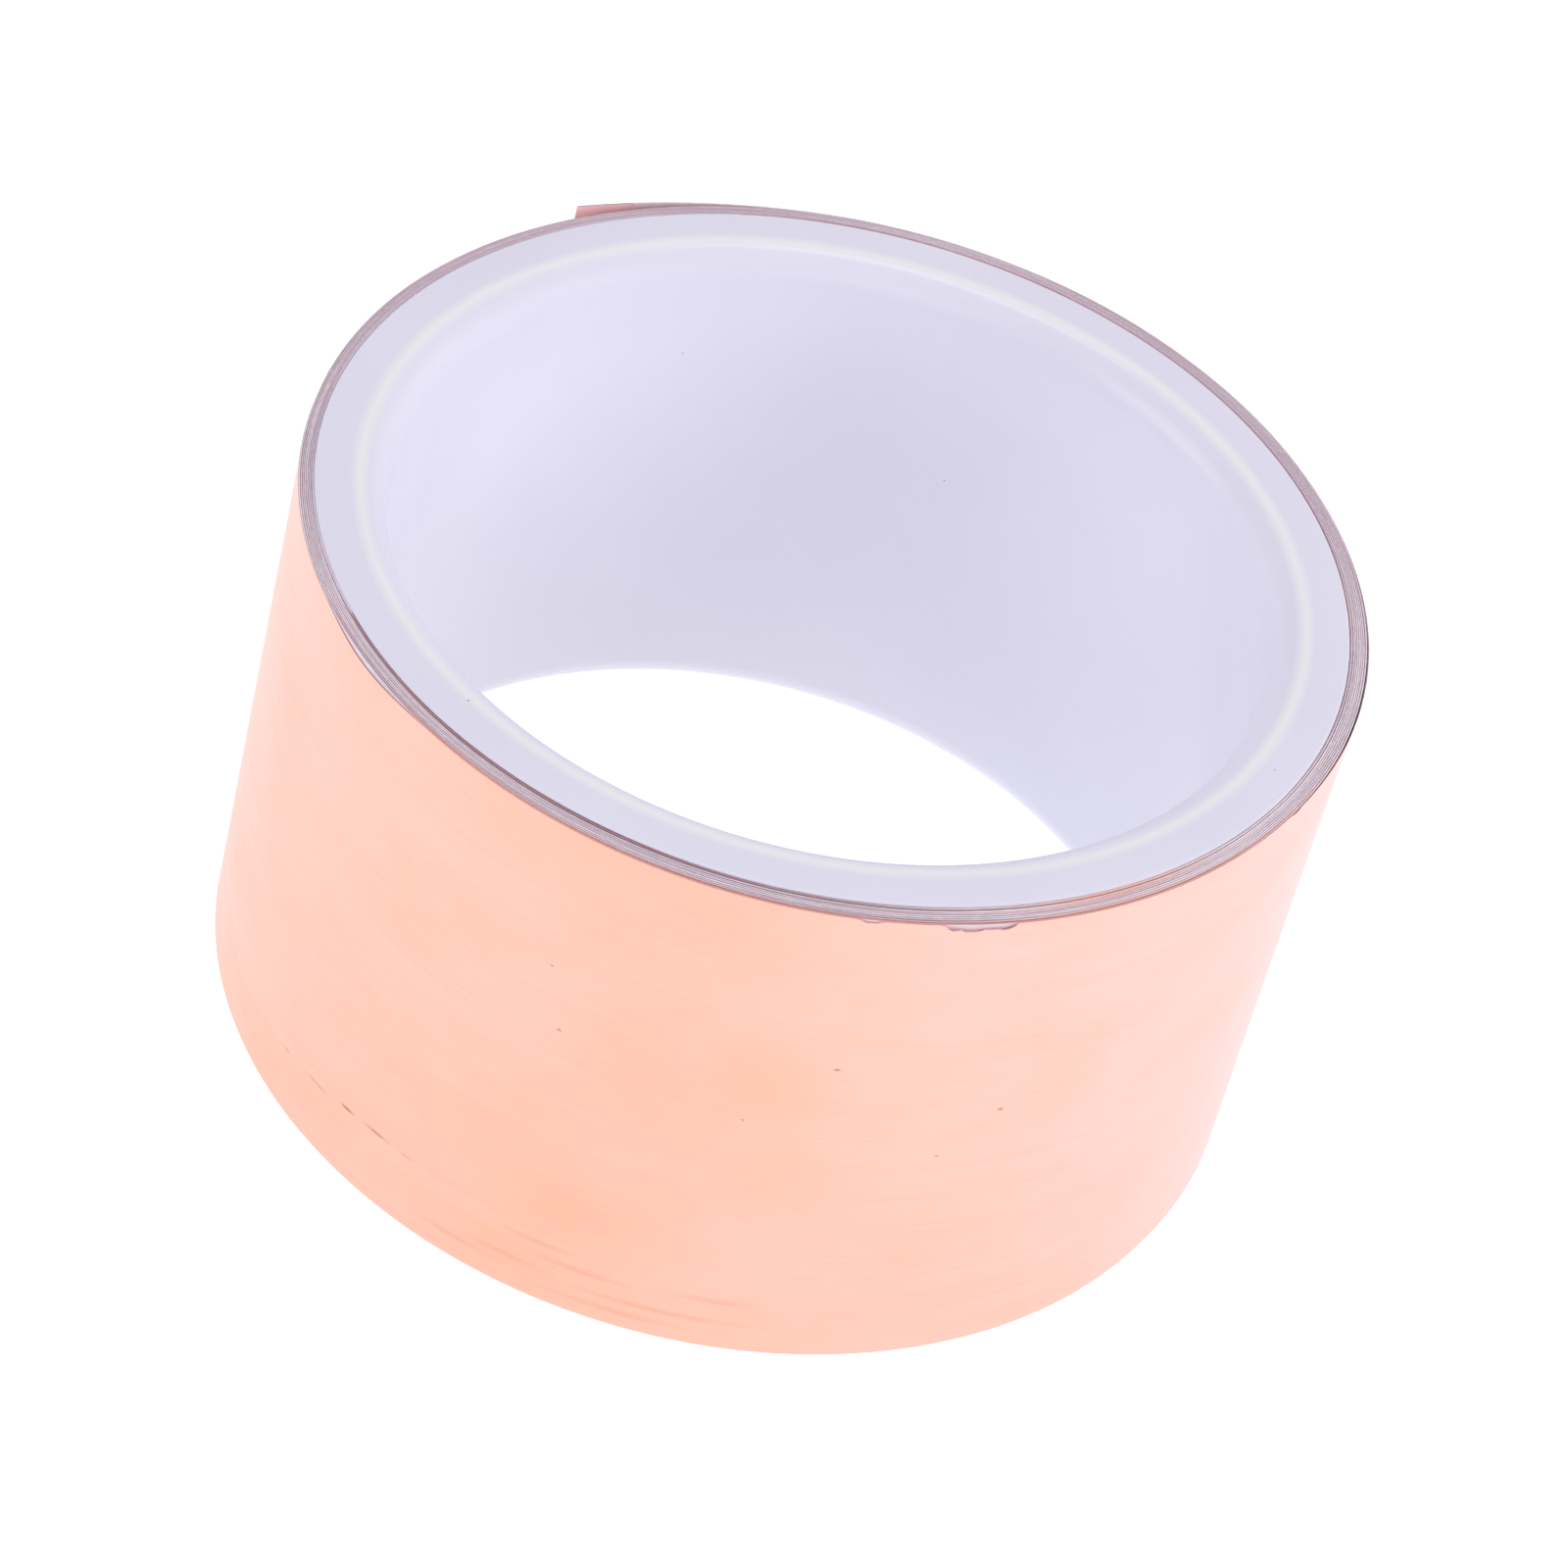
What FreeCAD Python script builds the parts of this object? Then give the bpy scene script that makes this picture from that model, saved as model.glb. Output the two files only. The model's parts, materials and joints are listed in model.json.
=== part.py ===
import FreeCAD, Part
import math
import os

# Copper foil tape roll, in millimetres.  +Z runs up along the core's bore; the origin is on the
# bore's axis at the bottom face, so the roll stands on the XY plane.  -Y is the front of the roll.
#
# The tape is three bonded layers: copper foil outside, acrylic adhesive under it, and a paper
# release liner on the inside of every turn.  It is wound counter-clockwise, seen from above, and
# it lies loose at the front of the core and tight at the back.

# ---- driving sizes ----
TAPE_W = 50.8             # width of the tape, and length of the core
BORE_R = 38.1             # 3 inch bore
CORE_WALL = 6.6           # wall of the moulded core
LIP_R = 3.0               # radius of the rounded inner edge at each end
CORE_EDGE_R = 0.3         # small radius on the core's outer edge

FOIL_T = 0.035            # copper foil
ADHESIVE_T = 0.030        # acrylic adhesive
LINER_T = 0.060           # release liner
TURNS_ON_FRONT = 9        # layers of tape on the loose side
TIGHT_GAP = 0.020         # air between two turns at the back
LOOSE_GAP = 0.105         # air between two turns at the front

LOOSE_DEG = -69.0         # direction of the loose side, about +Z from +X
START_LEAD_DEG = 81.0     # the tape starts this far before it first passes the loose side
ROOT_LEAD_DEG = 8.0       # the tail leaves the roll this far before the tight side

TAIL_LENGTH = 21.6        # loose end of the tape, along its curve
TAIL_BEND_R = 63.0        # radius that the springy loose end opens out to
LINER_SHORT = 5.4         # how much shorter the liner's loose end is
ROOT_GAP = 0.02           # between the wound tape and the tail that hinges on it
PEEL_GAP = 0.01           # between the adhesive and the liner that peels off it

# ---- sizes that follow ----
CORE_R = BORE_R + CORE_WALL
ADHESIVE_IN = LINER_T                    # height of each layer above the liner's inner face
FOIL_IN = ADHESIVE_IN + ADHESIVE_T
TAPE_T = FOIL_IN + FOIL_T
LOOSE_PITCH = TAPE_T + LOOSE_GAP
TIGHT_PITCH = TAPE_T + TIGHT_GAP
HALF_TURN = 180.0


def at(radius, degrees, centre=(0.0, 0.0)):
    """A point in the XY plane, on a circle."""
    a = math.radians(degrees)
    return FreeCAD.Vector(centre[0] + radius * math.cos(a), centre[1] + radius * math.sin(a), 0)


def arc(radius, start, end, centre):
    """A circular edge from one angle to another, about a centre in the XY plane."""
    middle = at(radius, (start + end) / 2, centre)
    return Part.Arc(at(radius, start, centre), middle, at(radius, end, centre)).toShape()


# ---- the path of the tape: arcs whose centres all lie on the line from loose to tight ----
def half_turn(loose_r, tight_r):
    """Radius and centre of the half circle that joins a radius on the loose side to one on the
    tight side.  Every such half circle crosses that line at a right angle, so they all run on
    smoothly into each other."""
    reach = (loose_r - tight_r) / 2
    direction = math.radians(LOOSE_DEG)
    return (loose_r + tight_r) / 2, (reach * math.cos(direction), reach * math.sin(direction))


def wound_path(first_base):
    """Arcs (radius, centre, start, end) of the wound tape, from its inner end to the tail's
    root.  first_base is the radius of the very first pass over the loose side; after it the
    liner is under the tape and the turns step out by their pitch."""
    loose = [first_base] + [CORE_R + LOOSE_PITCH * k for k in range(1, TURNS_ON_FRONT)]
    tight = [CORE_R + TIGHT_PITCH * k for k in range(TURNS_ON_FRONT)]
    radius, centre = half_turn(first_base, first_base)
    angle = LOOSE_DEG
    path = [(radius, centre, angle - START_LEAD_DEG, angle)]
    for k in range(TURNS_ON_FRONT):
        radius, centre = half_turn(loose[k], tight[k])
        lead = ROOT_LEAD_DEG if k == TURNS_ON_FRONT - 1 else 0.0
        path.append((radius, centre, angle, angle + HALF_TURN - lead))
        angle += HALF_TURN
        if k < TURNS_ON_FRONT - 1:
            radius, centre = half_turn(loose[k + 1], tight[k])
            path.append((radius, centre, angle, angle + HALF_TURN))
            angle += HALF_TURN
    return path


def strip(path, low, high):
    """A band of tape standing on the XY plane, from height low to height high above the path."""
    outer = [arc(r + high, a, b, c) for r, c, a, b in path]
    inner = [arc(r + low, b, a, c) for r, c, a, b in reversed(path)]
    r, c, a, b = path[-1]
    tip = Part.makeLine(at(r + high, b, c), at(r + low, b, c))
    r, c, a, b = path[0]
    butt = Part.makeLine(at(r + low, a, c), at(r + high, a, c))
    face = Part.Face(Part.Wire(outer + [tip] + inner + [butt]))
    return face.extrude(FreeCAD.Vector(0, 0, TAPE_W))


# ---- the core ----
def lip(z_end, inward):
    """The rounded inner edge at one end of the core, an arc from the end face to the bore.
    inward is +1 at the bottom end and -1 at the top end."""
    def point(direction):
        """A point of the arc, from 0 at the end face to a quarter turn at the bore."""
        radius = BORE_R + LIP_R * (1 - math.sin(direction))
        return FreeCAD.Vector(radius, 0, z_end + inward * LIP_R * (1 - math.cos(direction)))

    quarter = math.pi / 2
    return Part.Arc(point(0), point(quarter / 2), point(quarter)).toShape()


def core():
    """Moulded tube with rounded inner edges, turned from its section."""
    e = CORE_EDGE_R
    slope = e * (1 - math.sqrt(0.5))

    def p(radius, z):
        return FreeCAD.Vector(radius, 0, z)

    low_edge = Part.Arc(p(CORE_R - e, 0), p(CORE_R - slope, slope), p(CORE_R, e)).toShape()
    top_edge = Part.Arc(p(CORE_R, TAPE_W - e), p(CORE_R - slope, TAPE_W - slope),
                        p(CORE_R - e, TAPE_W)).toShape()
    section = [
        Part.makeLine(p(BORE_R + LIP_R, 0), p(CORE_R - e, 0)),
        low_edge,
        Part.makeLine(p(CORE_R, e), p(CORE_R, TAPE_W - e)),
        top_edge,
        Part.makeLine(p(CORE_R - e, TAPE_W), p(BORE_R + LIP_R, TAPE_W)),
        lip(TAPE_W, -1),
        Part.makeLine(p(BORE_R, TAPE_W - LIP_R), p(BORE_R, LIP_R)),
        lip(0.0, 1),
    ]
    face = Part.Face(Part.Wire(Part.__sortEdges__(section)))
    return face.revolve(FreeCAD.Vector(0, 0, 0), FreeCAD.Vector(0, 0, 1), 360)


# ---- the tape ----
# The first part-turn is stuck straight onto the core; the liner starts at the tight side.
foil_path = wound_path(CORE_R - LINER_T)
liner_path = wound_path(CORE_R)[2:]

root_r, root_centre, _, root_deg = foil_path[-1]
tail_centre = at(root_r - TAIL_BEND_R, root_deg, root_centre)
tail_from = root_deg + math.degrees(ROOT_GAP / TAIL_BEND_R)


def tail_path(length):
    """The loose end: one arc that leaves the roll tangentially and opens out."""
    end = tail_from + math.degrees(length / TAIL_BEND_R)
    return [(TAIL_BEND_R, (tail_centre.x, tail_centre.y), tail_from, end)]


whole_tail = tail_path(TAIL_LENGTH)
short_tail = tail_path(TAIL_LENGTH - LINER_SHORT)

pieces = {
    "core": core(),
    "foil_wound": strip(foil_path, FOIL_IN, TAPE_T),
    "adhesive_wound": strip(foil_path, ADHESIVE_IN, FOIL_IN),
    "liner_wound": strip(liner_path, 0.0, LINER_T),
    "foil_tail": strip(whole_tail, FOIL_IN, TAPE_T),
    "adhesive_tail": strip(whole_tail, ADHESIVE_IN, FOIL_IN),
    "liner_tail": strip(short_tail, 0.0, LINER_T - PEEL_GAP),
}

os.makedirs("parts", exist_ok=True)
for node, shape in pieces.items():
    assert shape.isValid() and len(shape.Solids) == 1, node
    shape.exportStep("parts/" + node + ".step")
    print(node, "volume", round(shape.Volume, 3), "mm3")

tail_hinge = at(root_r + TAPE_T, root_deg, root_centre)
liner_hinge = at(TAIL_BEND_R + LINER_T, tail_from, (tail_centre.x, tail_centre.y))
print("tail hinge", round(tail_hinge.x, 4), round(tail_hinge.y, 4))
print("liner hinge", round(liner_hinge.x, 4), round(liner_hinge.y, 4))
print("bore wall from", round(LIP_R, 4), "to", round(TAPE_W - LIP_R, 4))
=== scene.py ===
import json
import math

import bpy
from mathutils import Matrix, Vector, noise


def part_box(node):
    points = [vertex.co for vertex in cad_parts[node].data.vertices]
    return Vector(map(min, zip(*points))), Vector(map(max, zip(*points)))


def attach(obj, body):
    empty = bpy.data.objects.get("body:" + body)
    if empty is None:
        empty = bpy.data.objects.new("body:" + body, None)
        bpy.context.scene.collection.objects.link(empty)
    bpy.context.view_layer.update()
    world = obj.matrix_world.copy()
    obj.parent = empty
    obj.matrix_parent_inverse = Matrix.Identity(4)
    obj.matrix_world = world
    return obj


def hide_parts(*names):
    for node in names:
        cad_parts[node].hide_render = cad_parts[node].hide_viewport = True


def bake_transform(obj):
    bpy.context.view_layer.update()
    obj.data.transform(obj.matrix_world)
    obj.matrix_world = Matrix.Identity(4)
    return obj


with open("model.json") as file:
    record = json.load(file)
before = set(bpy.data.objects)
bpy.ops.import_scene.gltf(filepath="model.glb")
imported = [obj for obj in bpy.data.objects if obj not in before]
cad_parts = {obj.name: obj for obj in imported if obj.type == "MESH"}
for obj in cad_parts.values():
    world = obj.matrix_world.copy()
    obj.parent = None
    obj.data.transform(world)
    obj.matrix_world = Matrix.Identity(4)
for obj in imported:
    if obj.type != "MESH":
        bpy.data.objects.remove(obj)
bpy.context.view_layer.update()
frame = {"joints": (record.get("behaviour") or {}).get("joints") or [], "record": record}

# A roll of adhesive-backed copper foil on a white moulded core.  Sizes are in millimetres here
# and in metres in the meshes.  The roll stands on the XY plane, its bore is on Z, -Y is the front.
# Angles are degrees about Z from +X, seen from above, so the front is at -90.

MM = 0.001

# ---- the roll, as the frame gives it ----
BORE = next(m for m in frame["record"]["mounts"] if m["name"] == "core_bore")
HINGE = {j["name"]: Vector(j["pos_m"]) / MM for j in frame["joints"]}
BORE_R = BORE["dims"]["r_mm"]
STRAIGHT_BORE = BORE["dims"]["length_mm"]
CORE_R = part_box("core")[1].x / MM
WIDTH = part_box("core")[1].z / MM

# ---- the tape ----
FOIL, ADHESIVE, LINER = 0.035, 0.030, 0.060
TAPE = FOIL + ADHESIVE + LINER
TIGHT_PITCH = TAPE + 0.005     # from one turn to the next where they lie tight, at the back
START = -145.0                 # winding angle of the tape's inner end
LINER_FROM = 111.0             # where the tape first passes over its own end, and its liner begins
TURNS = 9                      # passes over the front
ROOT = 103.0 + 360 * (TURNS - 1)   # winding angle where the tail leaves the roll
OUTER_FROM = ROOT - 368        # the outer turn, which shows, starts just under the tail's root
TAIL_LENGTH = 21.6
TAIL_BEND_R = 63.0
LINER_SHORT = 5.4
SLIT_MARGIN = 0.10             # the tape is slit this much narrower than the core is long, per side
SLIT_WIDTH = WIDTH - 2 * SLIT_MARGIN
STANDING = 0.02                # the lower edges stand almost on the table
PAPER_FUR = 0.55               # share of the air between turns that the liner's soft edge fills
BEAD = 0.09                    # adhesive bled out over the core's rounded edge, under the first turn
BEAD_TALL = 0.15               # how far down from the tape's top edge the bead reaches
CORE_EDGE = 0.3                # small radius on the core's outer edges
SHARP_EDGE = math.radians(40)  # faces that meet at more than this keep a crisp edge


# =============================================================== shapes ====

def span(start, end, step):
    """Evenly spaced values from start to end, no further apart than step."""
    count = math.ceil((end - start) / step)
    return [start + (end - start) * k / count for k in range(count + 1)]


def wave(*where):
    """Smooth noise from -1 to 1."""
    return noise.noise(Vector(where))


def bump(value, centre, half_width):
    """A smooth hill, 1 at its centre and 0 beyond half_width."""
    t = abs(value - centre) / half_width
    return 0.0 if t >= 1 else (1 - t * t) ** 2


def outward(angle):
    a = math.radians(angle)
    return Vector((math.cos(a), math.sin(a), 0))


def side(angle):
    """A winding angle as an angle from -180 to 180."""
    return (angle + 180) % 360 - 180


def slack(angle):
    """Millimetres of air between all the turns together, at a side of the roll."""
    here = side(angle)
    front = 0.62 * max(0, 1 - ((here + 104) / 78) ** 2)
    return front + 0.52 * bump(here, -40, 110) + 0.20 * bump(here, 65, 80)


# the share of that air under each lined turn, from the first, over the tape's own end, to the
# outer one
AIR = [0.12, 0.20, 0.08, 0.09, 0.14, 0.09, 0.10, 0.18]


def ease(t):
    """From 0 to 1 with level ends, clamped."""
    t = min(1, max(0, t))
    return t * t * (3 - 2 * t)


def base(angle):
    """Radius of the liner's inner face at a winding angle.  Each new turn takes up its air in
    its first quarter, which is at the back."""
    turns = (angle - LINER_FROM) / 360
    if turns < 0:
        return CORE_R - LINER * ease(-turns / 0.5)
    whole = min(math.floor(turns), len(AIR) - 1)
    air = sum(AIR[:whole]) + AIR[whole] * ease((turns - whole) / 0.25)
    return CORE_R + turns * TIGHT_PITCH + slack(angle) * air


def air_under(angle):
    """Millimetres of air between the liner and what it lies on, the turn before or the core."""
    before = angle - 360
    return base(angle) - (base(before) + TAPE if before >= START else CORE_R)


def on_roll(angle, height):
    """A point of the wound tape, at a height above the liner's inner face."""
    return outward(angle) * (base(angle) + height)


def on_tail(along, height):
    """A point of the tail, which leaves the roll tangentially and opens out on its own arc."""
    centre = on_roll(ROOT, 0) - outward(ROOT) * TAIL_BEND_R
    return centre + outward(ROOT + math.degrees(along / TAIL_BEND_R)) * (TAIL_BEND_R + height)


# where the outer foil has let go, in a bulge at the front left and a slack stretch at the right:
# middle side and half width in degrees, how far it stands off at the top edge, and how far down
# that dies away, in millimetres
BULGE = (-136.5, 11, 0.34, 16)
SLACK_STRETCH = (-2, 34, 0.15, 9)
LINER_SPREAD = 0.72            # share of the bulge that the liner's soft edge fills


def let_go(here, z, stretch):
    """How far the foil stands off at one of those places."""
    middle, half, proud, fade = stretch
    return proud * bump(here, middle, half) * math.exp(-(WIDTH - z) / fade)


def stand_off(angle, z, layer, outside):
    """How far the outer turn stands off, in millimetres, with the faint waves of thin, loosely
    wound foil."""
    here = side(angle)
    lift = let_go(here, z, BULGE) + let_go(here, z, SLACK_STRETCH)
    if layer == "liner":
        lift = LINER_SPREAD * let_go(here, z, BULGE) if outside else 0.0
    return lift + 0.010 * wave(here / 9, z / 11, 3.1) + 0.004 * wave(here / 3.5, z / 5, 8.4)


# lips where a fingernail has turned the top edge of the outer foil off its liner: side and half
# width in degrees, height of tape turned in millimetres, and how far it is turned in degrees
LIPS = [(-77.0, 1.4, 0.30, 80), (-65.9, 3.9, 0.62, 112), (-24.0, 1.2, 0.20, 60)]
LIP_END = 1.2                  # degrees over which a lip's end flattens out


def turned_edge(angle, from_top, height):
    """Where the outer turn's edge is bent outwards: how far out and how far down a point goes."""
    out = down = 0.0
    here = side(angle)
    for middle, half, tall, degrees in LIPS:
        strength = ease((half - abs(here - middle)) / LIP_END)
        tall *= 1 + 0.45 * wave(here / 0.8, middle, 5.7)
        past = tall - from_top
        if strength > 0 and past > 0:
            bend = math.radians(degrees) * strength
            a = bend * min(1, past / tall)
            arm = tall / bend
            out += arm * (1 - math.cos(a)) + height * (math.cos(a) - 1)
            down += past - arm * math.sin(a) + height * math.sin(a)
    return out, down


# the rows between which a crease near the lower edge at the front left lies, in millimetres up
# the tape, and how deep and how wide it is
CREASE_ROWS = (4.5, 8.5)
CREASE_DEEP, CREASE_WIDE = 0.05, 0.4
# painted shade along it, in dashes: side at each end in degrees, millimetres up the tape, and how dark it
# is painted
CREASE_SHADE_DASHES = [(-157.0, -149.0, 5.6, 0.15), (-138.4, -136.6, 6.2, 0.30), (-133.6, -129.3, 6.6, 0.40),
          (-127.8, -125.0, 7.2, 0.90), (-124.2, -119.4, 7.4, 0.60), (-118.8, -116.5, 7.4, 0.25)]


def crease_depth(angle, row):
    """How deep the crease is pressed in at a place on the outer turn."""
    if not CREASE_ROWS[0] < row < CREASE_ROWS[1]:
        return 0.0
    here = side(angle)
    line = 5.4 + 2.1 * ease((here + 152) / 30)
    along = ease((here + 160) / 6) * ease((-114 - here) / 6)
    return CREASE_DEEP * along * math.exp(-((row - line) / CREASE_WIDE) ** 2)


def rise(angle, layer):
    """How far a layer's slit edge stands above or below the others: the strip's wander as it
    was wound, the layer's own, and how far the knife has pushed the layer back."""
    turn = (angle - START) / 360
    a = math.radians(angle)
    seed = {"foil": 0.0, "adhesive": 11.0, "liner": 23.0}[layer]
    wander = 0.045 * wave(math.cos(a) * 1.6, math.sin(a) * 1.6, turn * 2.3)
    own = 0.020 * wave(math.cos(a) * 5, math.sin(a) * 5, turn * 3.1 + seed)
    sink = {"foil": 0.0, "adhesive": -0.04, "liner": 0.01}[layer]
    return wander + own + sink


def bled_out(angle):
    """How far a bead of adhesive reaches out over the core's edge under the first turn, and how dark red
    the first turn's edges are, from all of it at the tape's inner end to none at the front."""
    return ease((-62 - angle) / 14)


def edge_marks_and_shade(angle, layer):
    """What a layer's slit edge shows, from 0 to 1: dark red along the first turns and faintly at the front
    left, pink at the front right, how pale it is, with painted light at the front right and painted shade
    at the back, and a raw red copper burr."""
    turn = math.floor((angle - START) / 360)
    here = side(angle)
    front_left = ease((here + 150) / 15) * ease((-55 - here) / 20)
    # dark red: faint at the front left, strong along the first two turns
    dark_red = 0.16 * front_left
    raw = 0.0
    # pink at the front right, strongest on the first four turns
    tinted = (0.9 if turn < 4 else 0.25) * bump(here, -50, 17)
    if angle < START + 90:
        dark_red = bled_out(angle)
    elif turn == 1:
        dark_red = 0.95 * ease((here + 147) / 3) * ease((-64 - here) / 20)
    if turn >= TURNS - 2:
        front = ease((here + 150) / 12) * ease(-here / 45)
        raw = front * (0.85 if turn == TURNS - 1 else 0.30)
        if layer == "liner":
            raw *= 1 - bump(here, BULGE[0], 12)
    if layer == "liner":
        dark_red *= 0.65
    a = math.radians(angle)
    pale = 0.5 + 0.8 * wave(math.cos(a) * 2.2, math.sin(a) * 2.2, turn * 1.7)
    # painted light at the front right, painted shade at the back left and back right
    pale += 0.35 * bump(here, -25, 60) - 0.55 * bump(here, 138, 50) - 0.40 * bump(here, 55, 80)
    return dark_red, min(1, tinted), min(1, max(0, pale)), raw


def mesh_piece(name, points, faces, kinds, uvs, materials, marks=None):
    """Makes an object from points in millimetres.  kinds holds each face's material number, uvs
    each point's place in the texture in millimetres, and marks each point's edge marks."""
    mesh = bpy.data.meshes.new(name)
    mesh.from_pydata([p * MM for p in points], [], faces)
    for material in materials:
        mesh.materials.append(material)
    layer = mesh.uv_layers.new(name="tape")
    for loop in mesh.loops:
        u, v = uvs[loop.vertex_index]
        layer.data[loop.index].uv = (u * MM, v * MM)
    for polygon, kind in zip(mesh.polygons, kinds):
        polygon.material_index = kind
        polygon.use_smooth = True
    if marks:
        worn = mesh.attributes.new("edge_marks_and_shade", "FLOAT_COLOR", "POINT")
        for spot, values in zip(worn.data, marks):
            spot.color = values
    mesh.validate()
    mesh.set_sharp_from_angle(angle=SHARP_EDGE)
    piece = bpy.data.objects.new(name, mesh)
    bpy.context.scene.collection.objects.link(piece)
    return piece


OUT_FACE, IN_FACE, SLIT = 0, 1, 2


def ribbon(name, stations, rows, place, marks_at, materials):
    """A closed band.  stations are (distance along the tape, winding angle) pairs and rows are
    millimetres up it; place gives the point for a station, a row and a side, 0 inside and 1
    outside, and marks_at gives a station's edge marks."""
    points, uvs, marks, faces, kinds = [], [], [], [], []
    n = len(rows)
    for station in stations:
        worn = marks_at(station)
        for outside in (0, 1):
            for row in rows:
                points.append(place(station, row, outside))
                uvs.append((station[0], row))
                marks.append(worn)

    def at(i, outside, j):
        return (i * 2 + outside) * n + j

    def face(kind, *corners):
        faces.append(corners)
        kinds.append(kind)

    last = len(stations) - 1
    top = n - 1
    for i in range(last):
        for j in range(top):
            face(OUT_FACE, at(i, 1, j), at(i + 1, 1, j), at(i + 1, 1, j + 1), at(i, 1, j + 1))
            face(IN_FACE, at(i, 0, j + 1), at(i + 1, 0, j + 1), at(i + 1, 0, j), at(i, 0, j))
        face(SLIT, at(i, 1, top), at(i + 1, 1, top), at(i + 1, 0, top), at(i, 0, top))
        face(SLIT, at(i, 0, 0), at(i + 1, 0, 0), at(i + 1, 1, 0), at(i, 1, 0))
    for j in range(top):
        face(SLIT, at(0, 0, j), at(0, 1, j), at(0, 1, j + 1), at(0, 0, j + 1))
        face(SLIT, at(last, 1, j), at(last, 0, j), at(last, 0, j + 1), at(last, 1, j + 1))
    return mesh_piece(name, points, faces, kinds, uvs, materials, marks)


BANDS = {"liner": (0.0, LINER), "adhesive": (LINER, LINER + ADHESIVE), "foil": (LINER + ADHESIVE, TAPE)}
# rows of points up the tape: few where it is covered; on the outer turn many, closest together
# at the crease and towards the top edge
FEW_ROWS = [0.0, SLIT_WIDTH / 2, SLIT_WIDTH - BEAD_TALL, SLIT_WIDTH]
MANY_ROWS = (span(0.0, CREASE_ROWS[0], 0.75) + span(*CREASE_ROWS, 0.25)[1:]
             + span(CREASE_ROWS[1], SLIT_WIDTH - 4.0, 2.0)[1:]
             + span(SLIT_WIDTH - 4.0, SLIT_WIDTH - 1.0, 0.6)[1:]
             + span(SLIT_WIDTH - 1.0, SLIT_WIDTH, 0.07)[1:])


def wound(name, layer, start, end, rows, step, materials):
    """A stretch of one layer of the wound tape."""
    low, high = BANDS[layer]
    outer_turn = start >= OUTER_FROM

    def place(station, row, outside):
        angle = station[1]
        height = high if outside else low
        if layer == "liner" and not outside:
            height -= PAPER_FUR * air_under(angle)
        if layer == "adhesive" and not outside and row == SLIT_WIDTH:
            height -= BEAD * bled_out(angle)
        z = STANDING + (SLIT_MARGIN - STANDING + rise(angle, layer)) * row / SLIT_WIDTH + row
        point = on_roll(angle, height)
        if outer_turn:
            settled = min(ease((angle - start) / 25), ease((end - angle) / 25))
            out = down = 0.0
            if layer != "liner":
                out, down = turned_edge(angle, SLIT_WIDTH - row, height)
            proud = stand_off(angle, z, layer, outside) * settled + out - crease_depth(angle, row)
            point += outward(angle) * proud
            z -= down
        point.z = z
        return point

    stations = [(math.radians(a - START) * CORE_R, a) for a in span(start, end, step)]
    piece = ribbon(name, stations, rows, place, lambda station: edge_marks_and_shade(station[1], layer), materials)
    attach(piece, "roll")
    return piece


def tail(name, layer, length, materials):
    """The loose end of one layer, bending away from the roll."""
    low, high = BANDS[layer]

    def place(station, row, outside):
        point = on_tail(station[0] - root_mm, high if outside else low)
        point.z = STANDING + (SLIT_MARGIN - STANDING + rise(ROOT, layer)) * row / SLIT_WIDTH + row
        return point

    root_mm = math.radians(ROOT - START) * CORE_R
    stations = [(root_mm + s, ROOT) for s in span(0.0, length, 0.5)]
    piece = ribbon(name, stations, MANY_ROWS, place, lambda station: edge_marks_and_shade(ROOT, layer), materials)
    along = (on_tail(1.0, 0) - on_tail(0.0, 0)).normalized()
    start = HINGE["tail_lift"].copy()
    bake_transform(piece)
    return piece


def lathe(name, outline, segments, material):
    """A closed ring turned from an outline of (radius, height) points."""
    points, uvs, faces = [], [], []
    n = len(outline)
    for i in range(segments):
        a = 2 * math.pi * i / segments
        for radius, z in outline:
            points.append(Vector((radius * math.cos(a), radius * math.sin(a), z)))
            uvs.append((a * radius, z))
    for i in range(segments):
        k = (i + 1) % segments
        for j in range(n):
            m = (j + 1) % n
            faces.append((i * n + j, k * n + j, k * n + m, i * n + m))
    return mesh_piece(name, points, faces, [0] * len(faces), uvs, [material])


def quarter_turn(steps):
    """Angles of a quarter turn, in radians."""
    return [math.pi / 2 * k / steps for k in range(steps + 1)]


def core_outline():
    """Section of the core: a quarter-round lip at each end of the bore, and small outer edges."""
    lip_radius = (WIDTH - STRAIGHT_BORE) / 2
    lip = [(BORE_R + lip_radius * (1 - math.cos(t)), lip_radius * (1 - math.sin(t)))
           for t in quarter_turn(32)]
    outer = [(CORE_R - CORE_EDGE * (1 - math.sin(t)), CORE_EDGE * (1 - math.cos(t)))
             for t in quarter_turn(6)]
    bottom = lip + outer
    top = [(r, WIDTH - z) for r, z in reversed(bottom)]
    straight = [(BORE_R, z) for z in span(lip_radius, WIDTH - lip_radius, 4.0)[1:-1]]
    return bottom + top + straight[::-1]


# ============================================================ materials ====

def linear(hex_colour):
    """sRGB hex to linear RGBA."""
    channels = [int(hex_colour[k:k + 2], 16) / 255 for k in (1, 3, 5)]
    return [c / 12.92 if c <= 0.04045 else ((c + 0.055) / 1.055) ** 2.4 for c in channels] + [1.0]


def add(tree, kind, inputs=None, **settings):
    """Adds a node with its settings.  Each of its inputs, by name or number, is given as a
    value or as the socket that feeds it."""
    node = tree.nodes.new(kind)
    for key, value in settings.items():
        setattr(node, key, value)
    for key, value in (inputs or {}).items():
        if isinstance(value, bpy.types.NodeSocket):
            tree.links.new(value, node.inputs[key])
        else:
            node.inputs[key].default_value = value
    return node


# the colour sockets of a Mix node
FROM, TO, MIXED = 6, 7, 2


def finish_named(name, inputs):
    """A new material, its tree and its Principled shader with some inputs set."""
    material = bpy.data.materials.new(name)
    material.use_nodes = True
    shader = material.node_tree.nodes["Principled BSDF"]
    for key, value in inputs.items():
        shader.inputs[key].default_value = value
    return material, material.node_tree, shader


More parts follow.
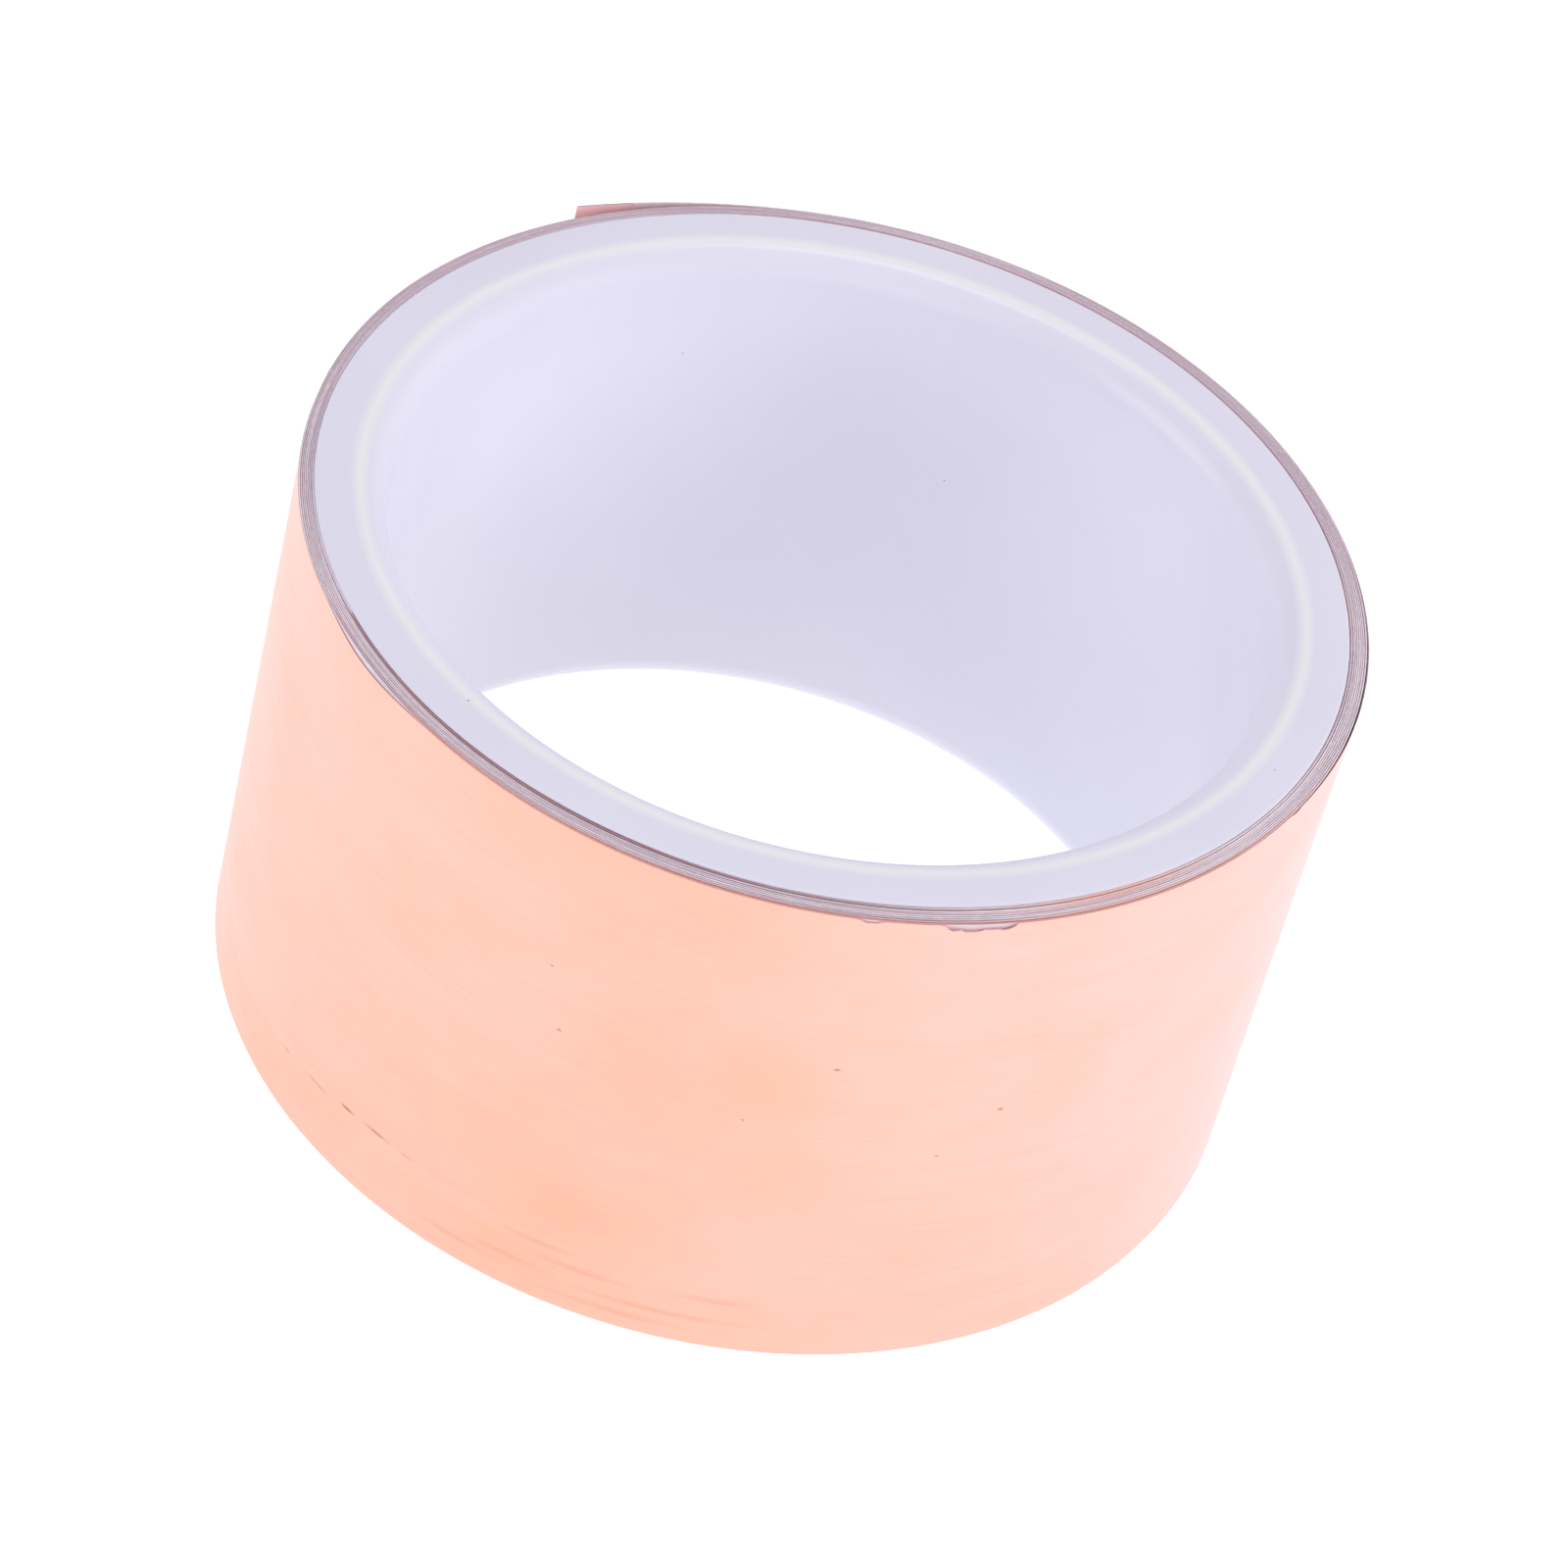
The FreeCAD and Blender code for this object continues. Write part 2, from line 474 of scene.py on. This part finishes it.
def along_the_tape(tree, along_mm, across_mm):
    """Texture space of the tape, in which one unit is along_mm by across_mm."""
    uv = add(tree, "ShaderNodeUVMap", uv_map="tape").outputs["UV"]
    scale = (1 / (along_mm * MM), 1 / (across_mm * MM), 1.0)
    return add(tree, "ShaderNodeMapping", {"Vector": uv, "Scale": scale}).outputs["Vector"]


def slit_edge(name, clean, dull):
    """A slit edge in one of the tape's layers, matt from the knife: clean to dull with its paleness, which
    holds painted light at the front right and painted shade at the back, pink and dark red where the marks
    say, and orange-red along a raw burr."""
    material, tree, shader = finish_named(name, {"Roughness": 0.8})
    # knife marks are finer than 0.1 mm; drawn 0.9 mm long, the shortest that shows
    nicks = add(tree, "ShaderNodeTexNoise", {"Vector": along_the_tape(tree, 0.9, 0.9), "Scale": 1.0,
                                             "Detail": 2.0}).outputs["Fac"]
    painted = add(tree, "ShaderNodeAttribute", attribute_name="edge_marks_and_shade").outputs
    marks = add(tree, "ShaderNodeSeparateColor", {"Color": painted["Color"]}).outputs
    # paleness from the knife nicks and the marks: painted light at the front right and painted shade at the
    # back
    pale = add(tree, "ShaderNodeMath", {0: nicks, 1: marks["Blue"]}, operation="ADD").outputs["Value"]
    pale = add(tree, "ShaderNodeMapRange", {"Value": pale, "From Min": 0.65,
                                            "From Max": 1.45}).outputs["Result"]
    colour = add(tree, "ShaderNodeMix", {0: pale, FROM: linear(dull), TO: linear(clean)},
                 data_type="RGBA").outputs[MIXED]
    # pink at the front right
    colour = add(tree, "ShaderNodeMix", {0: marks["Green"], FROM: colour, TO: linear("#f8c4ba")},
                 data_type="RGBA").outputs[MIXED]
    # dark red along the first turns and faintly at the front left
    colour = add(tree, "ShaderNodeMix", {0: marks["Red"], FROM: colour, TO: linear("#80343b")},
                 data_type="RGBA").outputs[MIXED]
    colour = add(tree, "ShaderNodeMix", {0: painted["Alpha"], FROM: colour, TO: linear("#ea9480")},
                 data_type="RGBA").outputs[MIXED]
    tree.links.new(colour, shader.inputs["Base Color"])
    return material


def outer_mm(here):
    """Millimetres along the tape to a side of the outer turn."""
    return math.radians(here + 360 * (TURNS - 1) - START) * CORE_R


def mark(tree, where, middle, half, solid, strength=1.0):
    """A soft oval mark on the tape, from its strength inside to 0 outside.  middle and half
    sizes are in millimetres along and up, and solid is the share of it that has not faded."""
    place = {"Vector": where, "Location": (middle[0] * MM, middle[1] * MM, 0.0),
             "Scale": (half[0] * MM, half[1] * MM, 1.0)}
    placed = add(tree, "ShaderNodeMapping", place, vector_type="TEXTURE").outputs["Vector"]
    reach = add(tree, "ShaderNodeVectorMath", {0: placed}, operation="LENGTH").outputs["Value"]
    return add(tree, "ShaderNodeMapRange", {"Value": reach, "From Min": solid, "From Max": 1.0,
                                            "To Min": strength, "To Max": 0.0}).outputs["Result"]


# oxide patches: side in degrees, millimetres up, half sizes in millimetres, strength
OXIDE = [(-82.0, 31.5, 7.7, 5.5, 0.60), (-99.5, 10.0, 11.0, 5.5, 0.55), (-50.5, 30.2, 5.5, 6.6, 0.5),
         (-78.0, 22.0, 8.8, 6.6, 0.25), (-108.0, 5.0, 13.2, 2.8, 0.4), (-72.0, 37.0, 6.6, 2.2, 0.35),
         (20.0, 26.0, 8.8, 5.5, 0.7), (95.0, 34.0, 9.9, 4.4, 0.7), (150.0, 15.0, 7.7, 6.6, 0.6)]
# specks of dirt: side in degrees, millimetres up, size in millimetres
SPECKS = [(-76.2, 33.9, 0.28), (-57.5, 28.8, 0.30), (-63.2, 24.0, 0.18), (-104.2, 30.0, 0.22),
          (-106.5, 36.2, 0.16), (-84.0, 26.8, 0.16), (35.0, 31.0, 0.25), (128.0, 22.0, 0.22)]
# rolling scuffs near the lower edge: side in degrees, millimetres up, half length in millimetres
SCUFFS = [(-104.0, 3.4, 5.0), (-96.0, 4.9, 6.0), (-110.0, 2.3, 5.0), (-87.0, 3.0, 9.0),
          (-92.0, 1.6, 8.0), (-101.0, 6.3, 4.0), (-82.0, 5.4, 5.0)]


def rolled_copper_foil():
    """Electrolytic copper, cold rolled between ground steel rolls to 35 micrometres and annealed.  The
    rolls leave very fine lines along the tape, so the sheen is soft and spreads across it; handling leaves
    faint orange oxide and a few specks, and brown shade is painted along a crease."""
    material, tree, shader = finish_named("rolled_copper_foil", {"Metallic": 1.0, "Anisotropic": 0.3})
    # roll lines are some 0.05 mm apart; drawn at 0.3 mm, the finest that shows
    lines = add(tree, "ShaderNodeTexNoise", {"Vector": along_the_tape(tree, 45, 0.3), "Scale": 1.0,
                                             "Detail": 3.0}).outputs["Fac"]
    clouds = add(tree, "ShaderNodeTexNoise", {"Vector": along_the_tape(tree, 16, 11), "Scale": 1.0,
                                              "Detail": 4.0, "Roughness": 0.6}).outputs["Fac"]
    cloudy = add(tree, "ShaderNodeMapRange", {"Value": clouds, "From Min": 0.42,
                                              "From Max": 0.70}).outputs["Result"]
    colour = add(tree, "ShaderNodeMix", {0: cloudy, FROM: linear("#f8c5b3"), TO: linear("#f7c0a9")},
                 data_type="RGBA").outputs[MIXED]
    lined = add(tree, "ShaderNodeMapRange", {"Value": lines, "From Min": 0.40, "From Max": 0.75,
                                             "To Max": 0.30}).outputs["Result"]
    colour = add(tree, "ShaderNodeMix", {0: lined, FROM: colour, TO: linear("#f1b8a0")},
                 data_type="RGBA").outputs[MIXED]

    flat = add(tree, "ShaderNodeUVMap", uv_map="tape").outputs["UV"]
    ragged = add(tree, "ShaderNodeTexNoise", {"Vector": along_the_tape(tree, 5, 3), "Scale": 1.0,
                                              "Detail": 4.0, "Roughness": 0.65}).outputs["Color"]
    drift = add(tree, "ShaderNodeVectorMath", {0: ragged, 1: (6 * MM, 5 * MM, 0.0),
                                               2: (-3 * MM, -2.5 * MM, 0.0)},
                operation="MULTIPLY_ADD").outputs["Vector"]
    smeared = add(tree, "ShaderNodeVectorMath", {0: flat, 1: drift}, operation="ADD").outputs["Vector"]
    oxide = 0.0
    for here, up, long, tall, strength in OXIDE:
        patch = mark(tree, smeared, (outer_mm(here), up), (long, tall), 0.1, strength)
        oxide = add(tree, "ShaderNodeMath", {0: patch, 1: oxide}, operation="MAXIMUM").outputs["Value"]
    colour = add(tree, "ShaderNodeMix", {0: oxide, FROM: colour, TO: linear("#fabb9d")},
                 data_type="RGBA").outputs[MIXED]

    scuffed = 0.0
    for here, up, long in SCUFFS:
        scuff = mark(tree, flat, (outer_mm(here), up), (long, 0.45), 0.0, 0.45)
        scuffed = add(tree, "ShaderNodeMath", {0: scuff, 1: scuffed}, operation="MAXIMUM").outputs["Value"]
    colour = add(tree, "ShaderNodeMix", {0: scuffed, FROM: colour, TO: linear("#e8a180")},
                 data_type="RGBA").outputs[MIXED]

    # painted shade along the crease, in brown dashes
    tinted = 0.0
    for start, end, up, strength in CREASE_SHADE_DASHES:
        middle = ((outer_mm(start) + outer_mm(end)) / 2, up)
        half = ((outer_mm(end) - outer_mm(start)) / 2, 0.20)
        dash = mark(tree, flat, middle, half, 0.2, strength)
        tinted = add(tree, "ShaderNodeMath", {0: dash, 1: tinted}, operation="MAXIMUM").outputs["Value"]
    # the painted shade dashes are broken where the crease is not quite proud, about every millimetre
    broken = add(tree, "ShaderNodeTexNoise", {"Vector": along_the_tape(tree, 1.4, 0.6), "Scale": 1.0,
                                              "Detail": 2.0}).outputs["Fac"]
    broken = add(tree, "ShaderNodeMapRange", {"Value": broken, "From Min": 0.32,
                                              "From Max": 0.50}).outputs["Result"]
    crease_shade_and_specks = add(tree, "ShaderNodeMath", {0: tinted, 1: broken}, operation="MULTIPLY").outputs["Value"]
    for here, up, size in SPECKS:
        speck = mark(tree, flat, (outer_mm(here), up), (size * 1.3, size * 0.7), 0.3, 0.65)
        crease_shade_and_specks = add(tree, "ShaderNodeMath", {0: speck, 1: crease_shade_and_specks}, operation="MAXIMUM").outputs["Value"]
    # brown: painted shade along the crease, and specks of dirt
    colour = add(tree, "ShaderNodeMix", {0: crease_shade_and_specks, FROM: colour, TO: linear("#a8664a")},
                 data_type="RGBA").outputs[MIXED]
    tree.links.new(colour, shader.inputs["Base Color"])

    grain = add(tree, "ShaderNodeMapRange", {"Value": lines, "From Min": 0.3, "From Max": 0.7,
                                             "To Min": 0.30, "To Max": 0.38}).outputs["Result"]
    tree.links.new(grain, shader.inputs["Roughness"])
    dip = add(tree, "ShaderNodeBump", {"Height": lines, "Strength": 0.06, "Distance": 0.02 * MM})
    tree.links.new(dip.outputs["Normal"], shader.inputs["Normal"])
    rolled = add(tree, "ShaderNodeTangent", direction_type="UV_MAP", uv_map="tape")
    tree.links.new(rolled.outputs["Tangent"], shader.inputs["Tangent"])
    return material


def gap_shaded_copper():
    """The same foil where it has lain under the next turn, darkened and dulled as painted shade, so a gap
    between turns is a soft dark line."""
    material, tree, shader = finish_named("gap_shaded_copper", {"Metallic": 0.2, "Roughness": 0.65})
    shade_noise = add(tree, "ShaderNodeTexNoise", {"Vector": along_the_tape(tree, 9, 4), "Scale": 1.0,
                                              "Detail": 3.0}).outputs["Fac"]
    shade_blotches = add(tree, "ShaderNodeMapRange", {"Value": shade_noise, "From Min": 0.3,
                                               "From Max": 0.7}).outputs["Result"]
    # painted shade: dull pinkish brown, blotched
    colour = add(tree, "ShaderNodeMix", {0: shade_blotches, FROM: linear("#cfa29c"), TO: linear("#bd908c")},
                 data_type="RGBA").outputs[MIXED]
    tree.links.new(colour, shader.inputs["Base Color"])
    return material


def acrylic_adhesive():
    """Clear acrylic pressure-sensitive adhesive, knife coated on the foil.  It is a slightly
    hazy film with the copper showing through it, dulled to pink."""
    material, tree, shader = finish_named("acrylic_adhesive", {"Roughness": 0.45, "Coat Weight": 0.4,
                                                               "Coat Roughness": 0.25})
    coat = add(tree, "ShaderNodeTexNoise", {"Vector": along_the_tape(tree, 6, 1.5), "Scale": 1.0,
                                            "Detail": 3.0}).outputs["Fac"]
    hazy = add(tree, "ShaderNodeMapRange", {"Value": coat, "From Min": 0.3,
                                            "From Max": 0.7}).outputs["Result"]
    colour = add(tree, "ShaderNodeMix", {0: hazy, FROM: linear("#fbdee4"), TO: linear("#f6d3da")},
                 data_type="RGBA").outputs[MIXED]
    tree.links.new(colour, shader.inputs["Base Color"])
    return material


def glassine_liner():
    """Bleached glassine paper, supercalendered and coated with silicone: a smooth, slightly
    cloudy grey-lilac sheet with short fibres."""
    material, tree, shader = finish_named("glassine_liner", {"Roughness": 0.42})
    fibres = add(tree, "ShaderNodeTexNoise", {"Vector": along_the_tape(tree, 1.5, 0.6), "Scale": 1.0,
                                              "Detail": 4.0}).outputs["Fac"]
    cloudy = add(tree, "ShaderNodeMapRange", {"Value": fibres, "From Min": 0.3,
                                              "From Max": 0.7}).outputs["Result"]
    colour = add(tree, "ShaderNodeMix", {0: cloudy, FROM: linear("#f0e2e8"), TO: linear("#e4d3db")},
                 data_type="RGBA").outputs[MIXED]
    tree.links.new(colour, shader.inputs["Base Color"])
    return material


# a painted highlight: a pale warm ring on each end face, where the lip begins; its middle radius, and how
# far it reaches each side at full strength and at none, in millimetres
PAINTED_HIGHLIGHT_RING = (40.8, 0.1, 0.9)
# grit pressed into the core: side in degrees, radius, height and size in millimetres
GRIT = [(-127.8, 41.3, WIDTH - 0.04, 0.13), (78.0, BORE_R, 31.0, 0.10), (118.0, BORE_R, 40.0, 0.09),
        (-20.0, 42.5, WIDTH, 0.09)]


def moulded_polypropylene():
    """White polypropylene, injection moulded in a polished tool and let shrink: satin, waxy and a little
    blue-white from its brightener, with very shallow orange peel, stray grit and a painted highlight, a
    pale warm ring where the lips begin."""
    material, tree, shader = finish_named("moulded_polypropylene", {"Roughness": 0.27, "IOR": 1.49})
    where = add(tree, "ShaderNodeTexCoord").outputs["Object"]
    peel = add(tree, "ShaderNodeTexNoise", {"Vector": where, "Scale": 1 / (1.6 * MM),
                                            "Detail": 3.0}).outputs["Fac"]
    cloud = add(tree, "ShaderNodeTexNoise", {"Vector": where, "Scale": 1 / (18 * MM),
                                             "Detail": 2.0}).outputs["Fac"]
    cloudy = add(tree, "ShaderNodeMapRange", {"Value": cloud, "From Min": 0.3,
                                              "From Max": 0.7}).outputs["Result"]
    colour = add(tree, "ShaderNodeMix", {0: cloudy, FROM: linear("#e8e5f0"), TO: linear("#e5e2ee")},
                 data_type="RGBA").outputs[MIXED]
    # painted highlight: a pale warm ring at a fixed radius on both end faces
    middle, full, none = PAINTED_HIGHLIGHT_RING
    flat = add(tree, "ShaderNodeVectorMath", {0: where, 1: (1.0, 1.0, 0.0)}, operation="MULTIPLY")
    radius = add(tree, "ShaderNodeVectorMath", {0: flat.outputs["Vector"]}, operation="LENGTH")
    away = add(tree, "ShaderNodeMath", {0: radius.outputs["Value"], 1: middle * MM},
               operation="SUBTRACT").outputs["Value"]
    away = add(tree, "ShaderNodeMath", {0: away}, operation="ABSOLUTE").outputs["Value"]
    ring = add(tree, "ShaderNodeMapRange", {"Value": away, "From Min": full * MM, "From Max": none * MM,
                                            "To Min": 0.75, "To Max": 0.0}).outputs["Result"]
    colour = add(tree, "ShaderNodeMix", {0: ring, FROM: colour, TO: linear("#f5f4ef")},
                 data_type="RGBA").outputs[MIXED]
    for here, radius, z, size in GRIT:
        spot = (outward(here) * radius + Vector((0, 0, z))) * MM
        away = add(tree, "ShaderNodeVectorMath", {0: where, 1: spot}, operation="DISTANCE").outputs["Value"]
        speck = add(tree, "ShaderNodeMapRange", {"Value": away, "From Min": 0.5 * size * MM,
                                                 "From Max": size * MM, "To Min": 0.8,
                                                 "To Max": 0.0}).outputs["Result"]
        colour = add(tree, "ShaderNodeMix", {0: speck, FROM: colour, TO: linear("#6f6668")},
                     data_type="RGBA").outputs[MIXED]
    tree.links.new(colour, shader.inputs["Base Color"])
    skin = add(tree, "ShaderNodeBump", {"Height": peel, "Strength": 0.10, "Distance": 0.02 * MM})
    tree.links.new(skin.outputs["Normal"], shader.inputs["Normal"])
    return material


COPPER = rolled_copper_foil()
GAP_SHADED = gap_shaded_copper()
GLUE = acrylic_adhesive()
PAPER = glassine_liner()
PLASTIC = moulded_polypropylene()
FACES = {
    "foil": [COPPER, COPPER, slit_edge("slit_copper_edge", "#e6c2be", "#bb9194")],
    "adhesive": [GLUE, GLUE, slit_edge("adhesive_edge", "#dac4cc", "#aa8e9a")],
    "liner": [PAPER, PAPER, slit_edge("glassine_edge", "#fbf5fd", "#d9cfdd")],
}
# the inner turns' foil has painted shade on its outer face, where the next turn covers it
COVERED = dict(FACES, foil=[GAP_SHADED] + FACES["foil"][1:])


# ============================================================ the pieces ====

def build_core():
    core = lathe("core_moulding", core_outline(), 720, PLASTIC)
    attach(core, "roll")
    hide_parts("core")


def build_tape():
    for layer in ("foil", "adhesive", "liner"):
        start = LINER_FROM if layer == "liner" else START
        inner = wound(layer + "_inner_turns", layer, start, OUTER_FROM, FEW_ROWS, 1.5, COVERED[layer])
        outer = wound(layer + "_outer_turn", layer, OUTER_FROM, ROOT, MANY_ROWS, 0.5, FACES[layer])
        for piece in (inner, outer):
            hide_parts(layer + "_wound")
        length = TAIL_LENGTH - (LINER_SHORT if layer == "liner" else 0)
        loose = tail(layer + "_loose_end", layer, length, FACES[layer])
        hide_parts(layer + "_tail")


build_core()
build_tape()


# ================================================== floor, light, camera ====

TABLE_GLOW = 0.97                      # the light table's brightness in its middle
GLOW_RIGHT, GLOW_LEFT = 0.31, 0.18     # how much brighter it is out to each side
SWEEP_LOW, SWEEP_HIGH = 1.05, 0.57     # the white sweep's brightness at the floor and overhead
CAMERA_AIM = Vector((1.0, 0.0, 22.8)) * MM
CAMERA_AWAY = 0.537                    # metres
CAMERA_ABOVE, CAMERA_TILT = math.radians(40.8), math.radians(15.08)


def light_table():
    """An opal acrylic sheet lit from below: white, almost without shadow, and a little cooler
    and brighter out to the sides, where its tubes are."""
    bpy.ops.mesh.primitive_plane_add(size=4.0, location=(0, 0, 0))
    table = bpy.context.object
    table.name = "light_table"
    material, tree, shader = finish_named("opal_acrylic", {"Roughness": 0.6, "Specular IOR Level": 0.0,
                                                           "Base Color": linear("#707070")})
    place = add(tree, "ShaderNodeTexCoord").outputs["Object"]
    across = add(tree, "ShaderNodeSeparateXYZ", {"Vector": place}).outputs["X"]
    right = add(tree, "ShaderNodeMapRange", {"Value": across, "From Min": -5 * MM, "From Max": 65 * MM,
                                             "To Max": GLOW_RIGHT}).outputs["Result"]
    left = add(tree, "ShaderNodeMapRange", {"Value": across, "From Min": -15 * MM,
                                            "From Max": -85 * MM, "To Max": GLOW_LEFT}).outputs["Result"]
    sides = add(tree, "ShaderNodeMath", {0: left, 1: right}, operation="ADD").outputs["Value"]
    glow = add(tree, "ShaderNodeMath", {0: sides, 1: TABLE_GLOW}, operation="ADD").outputs["Value"]
    tree.links.new(glow, shader.inputs["Emission Strength"])
    cooler = add(tree, "ShaderNodeMapRange", {"Value": sides, "From Max": 0.28}).outputs["Result"]
    colour = add(tree, "ShaderNodeMix", {0: cooler, FROM: linear("#ffffff"), TO: linear("#e9f2ff")},
                 data_type="RGBA").outputs[MIXED]
    tree.links.new(colour, shader.inputs["Emission Color"])
    table.data.materials.append(material)


def softbox(name, place, aim, size, watts):
    """A rectangular soft white light at a place, in metres, facing a point."""
    lamp = bpy.data.lights.new(name, "AREA")
    lamp.shape = "RECTANGLE"
    lamp.size, lamp.size_y = size
    lamp.energy = watts
    box = bpy.data.objects.new(name, lamp)
    box.location = place
    box.rotation_euler = (Vector(aim) - Vector(place)).to_track_quat("-Z", "Y").to_euler()
    bpy.context.scene.collection.objects.link(box)
    return box


def studio():
    light_table()
    sweep = bpy.data.worlds.new("white_sweep")
    sweep.use_nodes = True
    tree = sweep.node_tree
    towards = add(tree, "ShaderNodeTexCoord").outputs["Generated"]
    height = add(tree, "ShaderNodeSeparateXYZ", {"Vector": towards}).outputs["Z"]
    falling = add(tree, "ShaderNodeMapRange", {"Value": height, "From Min": 0.05, "From Max": 0.62,
                                               "To Min": SWEEP_LOW, "To Max": SWEEP_HIGH})
    tree.links.new(falling.outputs["Result"], tree.nodes["Background"].inputs["Strength"])
    tree.nodes["Background"].inputs["Color"].default_value = linear("#f5f5ff")
    bpy.context.scene.world = sweep
    roll = (0, 0, 0.04)
    softbox("overhead", (0.0, 0.25, 0.75), roll, (0.30, 0.16), 0.5)
    key = softbox("key_right", (0.75, -0.10, 0.42), roll, (0.5, 0.5), 2.6)
    softbox("fill_left", (-0.70, -0.20, 0.40), roll, (0.5, 0.5), 1.3)
    softbox("fill_front", (0.0, -0.85, 0.52), roll, (0.6, 0.4), 0.6)
    key.visible_glossy = False      # or it would leave a streak in the satin plastic
    bpy.context.scene.view_settings.view_transform = "Standard"


def camera():
    """Looks down at the roll from the front, tilted so that the roll leans to the right."""
    back = Vector((0, -math.cos(CAMERA_ABOVE), math.sin(CAMERA_ABOVE)))
    lens = bpy.data.cameras.new("camera")
    lens.lens = 140.76
    lens.sensor_width = 36.0
    seen = bpy.data.objects.new("camera", lens)
    turn = (-back).to_track_quat("-Z", "Y").to_matrix().to_4x4() @ Matrix.Rotation(CAMERA_TILT, 4, "Z")
    seen.matrix_world = Matrix.Translation(CAMERA_AIM + back * CAMERA_AWAY) @ turn
    bpy.context.scene.collection.objects.link(seen)
    bpy.context.scene.camera = seen


studio()
camera()
